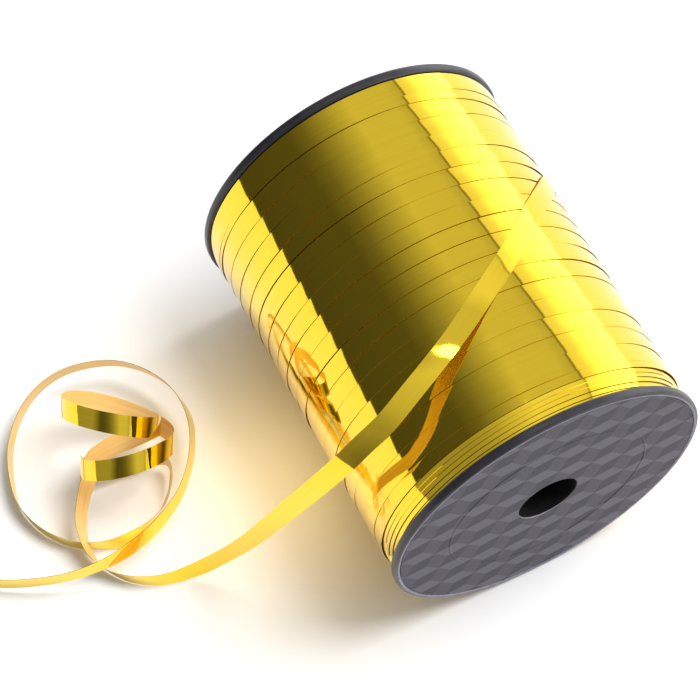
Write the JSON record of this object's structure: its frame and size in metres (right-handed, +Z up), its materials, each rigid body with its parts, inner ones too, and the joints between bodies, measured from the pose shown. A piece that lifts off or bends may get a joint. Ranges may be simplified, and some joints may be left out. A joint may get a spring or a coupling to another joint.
{
  "type": "curling ribbon spool",
  "caption": "Flanged spool of flat mirror-gold curling ribbon lying on its side, its loose end pulled over the winding and curled on the table.",
  "frame": {"origin": "on the table under the middle of the spool, with the spool lying on its flange rims", "axes": "+Z up, +Y along the spool's axis from the near flange to the far flange, loose ribbon on the -X side"},
  "size_m": [0.1683, 0.099, 0.0808],
  "materials": {
    "core": "plain matte black moulded tube",
    "flange": "semi-gloss charcoal moulding with a rounded rim",
    "label": "matte paper disc printed with a three-tone grey block pattern",
    "ribbon": "mirror-gold foil outside, satin tan-gold inside"
  },
  "bodies": {
    "root": {"core_tube": "core", "near_flange": "flange", "far_flange": "flange", "near_label": "label", "far_label": "label", "wound_ribbon": "ribbon", "free_ribbon": "ribbon"}
  },
  "joints": []
}
